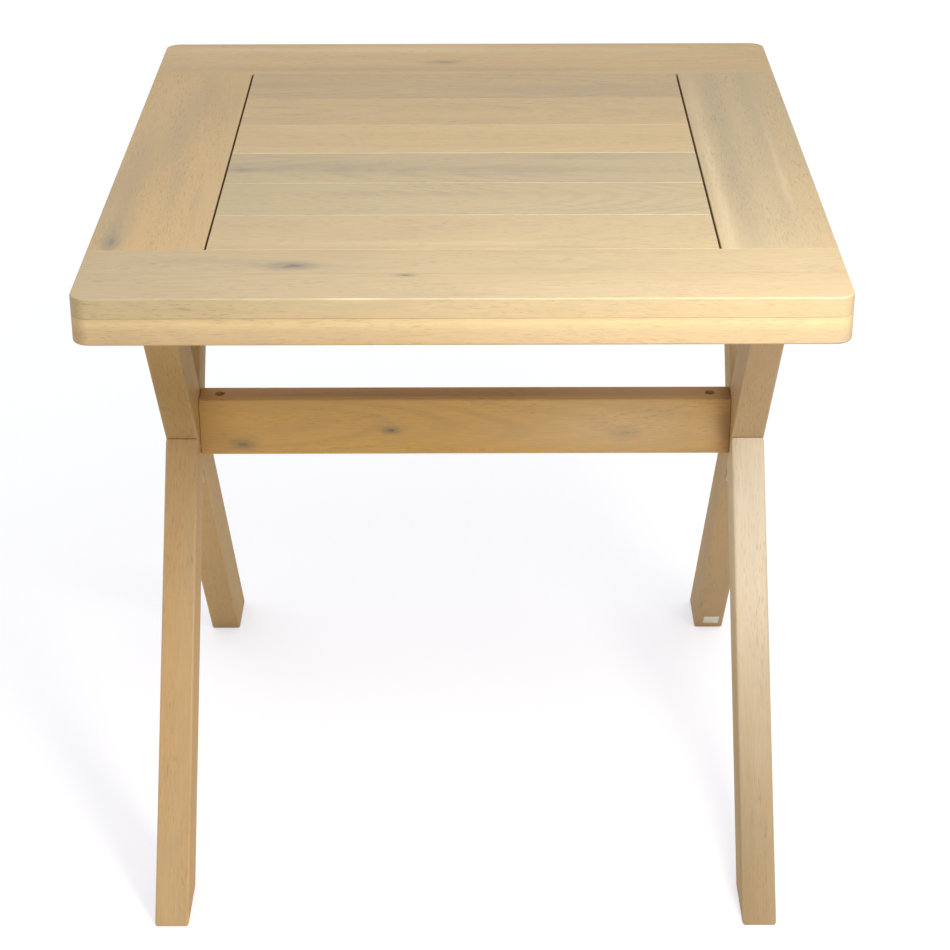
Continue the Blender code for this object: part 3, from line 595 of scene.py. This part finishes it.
foot = crossing_z / math.cos(lean)
skew = half_leg * math.tan(lean)
rise = (pivot_z - crossing_z) / math.cos(lean) + half_leg
gap = half_leg + FIT
no_rounding = [0, 0, 0, 0]
round_head = [0, 0, ROUND_END, ROUND_END]
LEG_PARTS = {
    "rear_leg": ([leg_point(foot - skew, -half_leg, 1), leg_point(foot + skew, half_leg, 1),
                  leg_point(-rise, half_leg, 1), leg_point(-rise, -half_leg, 1)], round_head),
    "front_leg": ([leg_point(foot + skew, half_leg, -1), leg_point(foot - skew, -half_leg, -1),
                   mitre_point(-half_leg, -gap), mitre_point(half_leg, -gap)], no_rounding),
    "strut": ([mitre_point(half_leg, gap), mitre_point(-half_leg, gap),
               leg_point(-rise, -half_leg, -1), leg_point(-rise, half_leg, -1)], round_head),
}
LEG_LOOKS = {
    # Painted shade: the left rear leg's dark mark covers its upper part, which lies in the shade under the
    # table top.
    "left_rear_leg": dict(tone=(0.590, 0.402, 0.193), seed=-28.7, streaks=0.35, bands=0.5, rings=0.08,
                          marks=[stain_or_painted_light(-0.27, 0.0, 0.0, 0.12, 0.060, 0.90, (0.40, 0.240, 0.080), 0.3)]),
    "left_front_leg": dict(tone=(0.613, 0.385, 0.165), seed=-17.4, streaks=0.35, bands=0.55, rings=0.10,
                           marks=[knot(0.115, 0.006, LEG_FACE, 0.0060, 0.65)]),
    # Painted shade: the left strut's tone is darker than the other legs' to stand for the shade under the
    # table top.
    "left_strut": dict(tone=(0.435, 0.274, 0.108), seed=-6.1, streaks=0.35, bands=0.5, rings=0.08),
    "right_rear_leg": dict(tone=(0.567, 0.398, 0.226), seed=51.3, streaks=0.30, bands=0.4, rings=0.08),
    # Painted light: the pale patch at the top of the right front leg, over a darker tone, paints the light
    # that falls there and fades towards the foot; the leg is partly whitish there as well.
    "right_front_leg": dict(tone=(0.405, 0.263, 0.119), seed=62.6, streaks=0.40, bands=0.4, rings=0.10,
                            marks=[
        stain_or_painted_light(-0.22, 0.0, LEG_FACE, 0.25, 0.060, 0.85, (0.86, 0.74, 0.55), 0.3),
        stain_or_painted_light(-0.10, 0.003, LEG_FACE, 0.20, 0.0060, 0.60, (0.54, 0.47, 0.37), 1.8),
        stain_or_painted_light(-0.12, -0.014, LEG_FACE, 0.20, 0.0035, 0.50, (0.88, 0.67, 0.36), 0.6)]),
    "right_strut": dict(tone=(0.598, 0.423, 0.231), seed=73.9, streaks=0.35, bands=0.4, rings=0.08),
}
HOLE_POINTS = 40
PAST_FACE = 0.001


def drilled(piece, centre, outward, depth, radius):
    """Cuts a blind round hole: a circle carried from past the face down to its depth."""
    angles = np.linspace(0, 2 * math.pi, HOLE_POINTS, endpoint=False)
    circle = np.column_stack((radius * np.cos(angles), radius * np.sin(angles)))
    rings = np.zeros((2, HOLE_POINTS, 3))
    rings[..., :2] = circle
    rings[..., 2] = np.array([[-depth], [PAST_FACE]])
    turn = np.array(Vector(outward).to_track_quat("Z", "Y").to_matrix())
    drill = skinned("drill", rings @ turn.T + np.array(centre), np.zeros((2, HOLE_POINTS)), 0)
    hole = piece.modifiers.new("hole", "BOOLEAN")
    hole.operation = "DIFFERENCE"
    hole.object = drill
    with bpy.context.temp_override(object=piece, active_object=piece):
        bpy.ops.object.modifier_move_to_index(modifier=hole.name, index=0)
        bpy.ops.object.modifier_apply(modifier=hole.name)
    bpy.data.objects.remove(drill, do_unlink=True)
    piece.data.set_sharp_from_angle(angle=SHARP)


for side in ("left", "right"):
    low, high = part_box(f"{side}_rear_leg")
    bolt_low, bolt_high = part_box(f"{side}_stretcher_bolt")
    bodies = {"rear_leg": "rear_frame", "front_leg": f"{side}_front_leg", "strut": f"{side}_upper_strut"}
    for part, (outline, radii) in LEG_PARTS.items():
        node = f"{side}_{part}"
        slope = 1 if part == "rear_leg" else -1
        down = (0, slope * math.sin(lean), -math.cos(lean))
        out = (0, -math.cos(lean), -slope * math.sin(lean))
        bar = carried_up(f"{node}_finish", outline, radii, [1, 1, 1, 1], low.x, high.x, LEG_EASE, LEG_EASE,
                         LEG_SOFTENING, upright="X")
        if part == "rear_leg":
            outer_x, out_x = (low.x, -1) if side == "left" else (high.x, 1)
            drilled(bar, (outer_x, 0, crossing_z), (out_x, 0, 0), RECESS_DEPTH,
                    (bolt_high.z - bolt_low.z) / 2 + FIT)
        fit(bar, bodies[part], acacia(node, down, out, **LEG_LOOKS[node]), node)

low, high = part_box("stretcher")
stretcher = carried_along("stretcher_finish", rectangle(low.yz, high.yz), [LEG_EASE] * 4, "X",
                          low.x, high.x, STRETCHER_SOFTENING)
for side in ("left", "right"):
    nut_low, nut_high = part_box(f"{side}_barrel_nut")
    middle = (nut_low + nut_high) / 2
    drilled(stretcher, (middle.x, middle.y, high.z), UP, high.z - nut_low.z,
            (nut_high.x - nut_low.x) / 2 + FIT)
marks = [knot(-0.243, -0.0200, BEAM_FACE, 0.0060, 0.65), knot(-0.079, -0.0040, BEAM_FACE, 0.0045, 0.75),
         knot(0.172, -0.0081, BEAM_FACE, 0.0065, 0.75), stain_or_painted_light(0.213, 0.0146, BEAM_FACE, 0.030, 0.006, 0.3),
         # Painted shade: two dark stripes over the stretcher's top face, which lies in the shade under the
         # table top.
         stain_or_painted_light(0.0, 0.0327, 0.004, 0.40, 0.004, 0.60, (0.34, 0.14, 0.030), 1.0),
         stain_or_painted_light(0.05, 0.0327, -0.006, 0.30, 0.003, 0.45, (0.36, 0.17, 0.045), 1.0),
         # Painted light: a pale patch on the right of the stretcher's face, where the softbox light falls.
         stain_or_painted_light(0.165, 0.002, BEAM_FACE, 0.11, 0.040, 0.55, (0.95, 0.70, 0.42), 0.4),
         # Painted shadow: the right leg's shadow across the stretcher's right end.
         stain_or_painted_light(0.284, 0.0, BEAM_FACE, 0.012, 0.060, 0.80, (0.30, 0.16, 0.06), 0.8),
         # Painted shade: the stretcher's left end is darker, on the side away from the softbox.
         stain_or_painted_light(-0.275, 0.0, BEAM_FACE, 0.030, 0.040, 0.35, (0.50, 0.29, 0.10), 0.8)]
wood = acacia("stretcher", (1, 0, 0), (0, -1, 0), (0.712, 0.436, 0.141), 131.0, streaks=0.25, bands=0.5,
              rings=0.22, pith=(0.0, 0.035, 0.06), honey=(0.62, 0.40, 0.17), streak=(0.36, 0.27, 0.15),
              marks=marks)
fit(stretcher, "rear_frame", wood, "stretcher")


# ---------------------------------------------------------------- bolts, nuts, washers, hinges
# Zinc-plated steel: pivot, slot and crossing bolts with their washers and nuts, and
# the butt hinges that join the front legs and upper struts to the rear legs.


def make_plating_group():
    """Thin plating: cloudy brightness, fine rubbing scratches and dull spots."""
    n, given, result = new_group("plating", [("Vector", "Vector"), ("Metal", "Color")],
                                 [("Color", "Color"), ("Roughness", "Float"), ("Height", "Float")])
    cloud = n.noise(given["Vector"], (160.0, 160.0, 160.0), 3.0)
    rub = n.noise(given["Vector"], (300.0, 2400.0, 2400.0), 2.0)
    spot = n.ramp(n.noise(given["Vector"], (700.0, 700.0, 700.0), 2.0), 0.58, 0.72)
    shade = n.sum("ADD", 0.86, n.sum("MULTIPLY", cloud, 0.26))
    shade = n.sum("SUBTRACT", shade, n.sum("MULTIPLY", spot, 0.16))
    n.feed(result["Color"], n.scaled(given["Metal"], shade))
    rough = n.sum("ADD", 0.22, n.sum("MULTIPLY", cloud, 0.20))
    n.feed(result["Roughness"], n.sum("ADD", rough, n.sum("MULTIPLY", spot, 0.15)))
    n.feed(result["Height"], n.sum("ADD", rub, n.sum("MULTIPLY", spot, -0.6)))
    return n.tree


def metal(name, group, base, bumpy, metallic):
    material, n, shader = new_material(name)
    coat = n.add("ShaderNodeGroup", node_tree=group)
    n.feed(coat.inputs["Vector"], n.add("ShaderNodeTexCoord").outputs["Object"])
    n.feed(coat.inputs["Metal"], (*base, 1.0))
    n.feed(shader.inputs["Base Color"], coat.outputs["Color"])
    n.feed(shader.inputs["Roughness"], coat.outputs["Roughness"])
    shader.inputs["Metallic"].default_value = metallic
    bumped(n, shader, coat.outputs["Height"], bumpy, 0.0002)
    return material


zinc = metal("zinc_plate", make_plating_group(), (0.62, 0.62, 0.60), 0.15, 1.0)
STEEL_WORDS = ("bolt", "nut", "washer", "hinge")
for node in frame["nodes"]:
    if any(word in node for word in STEEL_WORDS):
        refinish(node, zinc)

SCREW_HEAD = 0.0033
SCREW_DOME = 0.0011
SCREW_DEPTH = 0.0016
SCREW_POINTS = 32
SCREW_RADII = np.array([0.04, 0.16, 0.28, 0.40, 0.52, 0.64, 0.80, 0.92, 1.0])
SCREW_SHARP = math.radians(50)
SCREW_SPIN = 0.7
DOME_POWER = 0.7
CROSS_DEPTH = 0.0009
CROSS_FLAT = 1.6
CROSS_FALL = 0.10
CROSS_REACH = 0.66


def screws(name, places, body, material):
    """Round-headed cross-recess screws, one closed shape for each (point, outward) pair.

    On a polar grid of radius r and angle a the head is a dome, (1 - r squared) to the
    dome power, less a cross-shaped recess: its depth follows how near the point is to
    either slot line, |r sin a| or |r cos a|, and dies out along the arms. The skirt
    below the rim sinks into the wood and closes in one flat face.
    """
    angles = np.linspace(0, 2 * math.pi, SCREW_POINTS, endpoint=False)
    r, a = np.meshgrid(SCREW_RADII, angles, indexing="ij")
    slot_line = np.minimum(np.abs(r * np.sin(a)), np.abs(r * np.cos(a)))
    near_line = np.clip(CROSS_FLAT - slot_line / CROSS_FALL, 0, 1)
    cross = near_line * np.clip((CROSS_REACH - r) / CROSS_FALL, 0, 1)
    height = SCREW_DOME * (1 - r ** 2) ** DOME_POWER - CROSS_DEPTH * cross
    top = np.stack((r * np.cos(a) * SCREW_HEAD, r * np.sin(a) * SCREW_HEAD, height), axis=-1)[::-1]
    skirt = top[:1] + np.array([0, 0, -SCREW_DEPTH])
    head = np.concatenate((skirt, top)).reshape(-1, 3)
    head_faces = ring_faces(len(SCREW_RADII) + 1, SCREW_POINTS)
    points = []
    faces = []
    for i, (place, outward) in enumerate(places):
        turn = np.array(Vector(outward).to_track_quat("Z", "Y").to_matrix())
        spin = SCREW_SPIN * i
        twist = np.array([[math.cos(spin), -math.sin(spin), 0],
                          [math.sin(spin), math.cos(spin), 0],
                          [0, 0, 1]])
        points.append(head @ (turn @ twist).T + np.array(place))
        faces += [[corner + i * len(head) for corner in face] for face in head_faces]
    mesh = bpy.data.meshes.new(name)
    mesh.from_pydata(np.concatenate(points).tolist(), [], faces)
    mesh.shade_smooth()
    mesh.set_sharp_from_angle(angle=SCREW_SHARP)
    mesh.materials.append(material)
    piece = placed(name, mesh)
    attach(piece, body)


LEAF_FACE = 0.0024
LEAF_SCREW_ROWS = (0.014, 0.030)
LEAF_SCREW_SPREAD = 0.008
down_back = Vector((0, math.sin(lean), -math.cos(lean)))
down_front = Vector((0, -math.sin(lean), -math.cos(lean)))
into_rear = Vector((0, math.cos(lean), math.sin(lean)))
into_front = Vector((0, -math.cos(lean), math.sin(lean)))
for side in ("left", "right"):
    low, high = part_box(f"{side}_rear_leg")
    middle_x = (low.x + high.x) / 2
    leaves = (
        (f"{side}_front_leg_fold", "front_hinge_fixed", "rear_frame", down_back, into_rear),
        (f"{side}_front_leg_fold", "front_hinge_moving", f"{side}_front_leg", down_front, into_front),
        (f"{side}_strut_fold", "strut_hinge_fixed", "rear_frame", down_back, -into_rear),
        (f"{side}_strut_fold", "strut_hinge_moving", f"{side}_upper_strut", -down_front, into_front),
    )
    for joint, label, body, direction, inward in leaves:
        pin = Vector((middle_x, *joints[joint]["pos_m"][1:]))
        places = [(pin + direction * row + inward * LEAF_FACE + Vector((LEAF_SCREW_SPREAD * way, 0, 0)),
                   -inward) for row in LEAF_SCREW_ROWS for way in (-1, 1)]
        screws(f"{side}_{label}_screws", places, body, zinc)


# ---------------------------------------------------------------- slot plates
# Flat steel plates, powder-coated black, screwed to the inner faces of the side edge
# boards. Each holds a pivot bolt and the curved slot that a strut's bolt runs in. The
# screws up through the ledgers and the batten come last, two to a slat.


def make_powder_group():
    """Satin powder coat: orange-peel pimples and faint dust."""
    n, given, result = new_group("powder_coat", [("Vector", "Vector"), ("Metal", "Color")],
                                 [("Color", "Color"), ("Roughness", "Float"), ("Height", "Float")])
    peel = n.noise(given["Vector"], (900.0, 900.0, 900.0), 2.0)
    dust = n.ramp(n.noise(given["Vector"], (45.0, 45.0, 45.0), 3.0), 0.45, 0.75)
    n.feed(result["Color"], n.mix(n.sum("MULTIPLY", dust, 0.12), given["Metal"], (0.30, 0.27, 0.22, 1.0)))
    n.feed(result["Roughness"], n.sum("ADD", 0.40, n.sum("MULTIPLY", dust, 0.18)))
    n.feed(result["Height"], peel)
    return n.tree


powder = metal("black_powder_coat", make_powder_group(), (0.035, 0.034, 0.033), 0.35, 0.0)
PLATE_SCREWS = 6
PLATE_SCREW_INSET = 0.016
PLATE_SCREW_DROP = 0.0092
STAGGER = 0.006
for side, out in (("left", 1), ("right", -1)):
    node = f"{side}_slot_plate"
    refinish(node, powder)
    low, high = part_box(node)
    inner_x = high.x if side == "left" else low.x
    level = high.z - PLATE_SCREW_DROP
    places = [((inner_x, y, level), (out, 0, 0))
              for y in np.linspace(low.y + PLATE_SCREW_INSET, high.y - PLATE_SCREW_INSET, PLATE_SCREWS)]
    screws(f"{side}_slot_plate_screws", places, "top", powder)

for strip in ("left_ledger", "right_ledger", "centre_batten"):
    low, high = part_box(strip)
    places = []
    for number in SLAT_LOOKS:
        slat_low, slat_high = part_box(f"slat_{number}")
        quarter = (slat_high.y - slat_low.y) / 4
        middle_y = (slat_low.y + slat_high.y) / 2
        places += [(((low.x + high.x) / 2 + way * STAGGER, middle_y + way * quarter, low.z), (0, 0, -1))
                   for way in (-1, 1)]
    screws(f"{strip}_screws", places, "top", zinc)


# ---------------------------------------------------------------- paper label
# A small blank paper label stuck to the front face of the right rear leg, just above
# the foot. One corner has begun to lift, by the square of how near a point is to it.

LABEL = (0.019, 0.019)
LABEL_ABOVE_FOOT = 0.022
LABEL_LIFT = 0.0006
LABEL_THICKNESS = 0.00012
LABEL_STEPS = 13
LABEL_SHIFT = 0.002
LIFT_FROM = 1.2
low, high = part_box("right_rear_leg")
steps = np.linspace(-1, 1, LABEL_STEPS)
u, v = np.meshgrid(steps, steps, indexing="ij")
lift = LABEL_LIFT * np.clip((u + v - LIFT_FROM) / (2 - LIFT_FROM), 0, 1) ** 2
along = foot - skew - LABEL_ABOVE_FOOT + v * LABEL[1] / 2
out = -half_leg - LABEL_THICKNESS - lift
points = np.stack(((low.x + high.x) / 2 + LABEL_SHIFT + u * LABEL[0] / 2,
                   along * math.sin(lean) + out * math.cos(lean),
                   crossing_z - along * math.cos(lean) + out * math.sin(lean)), axis=-1)
index = np.arange(u.size).reshape(u.shape)
quads = np.stack((index[:-1, :-1], index[:-1, 1:], index[1:, 1:], index[1:, :-1]), axis=-1)
mesh = bpy.data.meshes.new("paper_label")
mesh.from_pydata(points.reshape(-1, 3).tolist(), [], quads.reshape(-1, 4).tolist())
mesh.shade_smooth()
label = placed("paper_label", mesh)
thickness = label.modifiers.new("paper", "SOLIDIFY")
thickness.thickness = LABEL_THICKNESS
thickness.offset = -1.0
paper, n, shader = new_material("label_paper")
place = n.add("ShaderNodeTexCoord").outputs["Object"]
soiling = n.noise(place, (260.0, 260.0, 260.0), 3.0)
n.feed(shader.inputs["Base Color"], n.mix(n.ramp(soiling, 0.45, 0.8), (0.90, 0.89, 0.86, 1.0),
                                          (0.72, 0.68, 0.61, 1.0)))
n.feed(shader.inputs["Roughness"], n.sum("ADD", 0.45, n.sum("MULTIPLY", soiling, 0.2)))
bumped(n, shader, n.noise(place, (3000.0, 3000.0, 3000.0), 1.0), 0.1, 0.0001)
label.data.materials.append(paper)
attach(label, "rear_frame")


# ---------------------------------------------------------------- floor, light and camera
# A white studio floor, one close softbox over the front right corner of the table, and
# even light all round. Floor and backdrop are lifted to white for the camera only.

bpy.ops.mesh.primitive_plane_add(size=60.0)
floor = bpy.context.object
floor.name = "studio_floor"
paint, n, shader = new_material("studio_white")
shader.inputs["Base Color"].default_value = (0.84, 0.77, 0.64, 1.0)
shader.inputs["Roughness"].default_value = 1.0
shader.inputs["Specular IOR Level"].default_value = 0.0
shader.inputs["Emission Color"].default_value = (0.69, 0.79, 1.0, 1.0)
lift = n.add("ShaderNodeLightPath").outputs["Is Camera Ray"]
n.feed(shader.inputs["Emission Strength"], n.sum("MULTIPLY", lift, 0.58))
floor.data.materials.append(paint)

world = bpy.data.worlds.new("studio")
world.use_nodes = True
n = Nodes(world.node_tree)
backdrop = world.node_tree.nodes["Background"]
backdrop.inputs["Color"].default_value = (1.0, 1.0, 1.0, 1.0)
seen = n.add("ShaderNodeLightPath").outputs["Is Camera Ray"]
n.feed(backdrop.inputs["Strength"], n.sum("ADD", 0.72, n.sum("MULTIPLY", seen, 0.30)))
bpy.context.scene.world = world

softbox_data = bpy.data.lights.new("softbox", "AREA")
softbox_data.size = 0.34
softbox_data.energy = 7.0
softbox = bpy.data.objects.new("softbox", softbox_data)
softbox.location = (0.42, -0.86, 1.16)
softbox.rotation_euler = (Vector((0.05, -0.1, 0.5)) - softbox.location).to_track_quat("-Z", "Y").to_euler()
softbox.visible_camera = False
bpy.context.collection.objects.link(softbox)

camera_data = bpy.data.cameras.new("camera")
camera_data.lens = 92.68
camera = bpy.data.objects.new("camera", camera_data)
camera.location = (0.0129, -2.4118, 1.533)
camera.rotation_euler = (math.radians(90.0 - 26.135), math.radians(0.145), math.radians(-0.019))
bpy.context.collection.objects.link(camera)
bpy.context.scene.camera = camera
bpy.context.scene.view_settings.view_transform = "Standard"
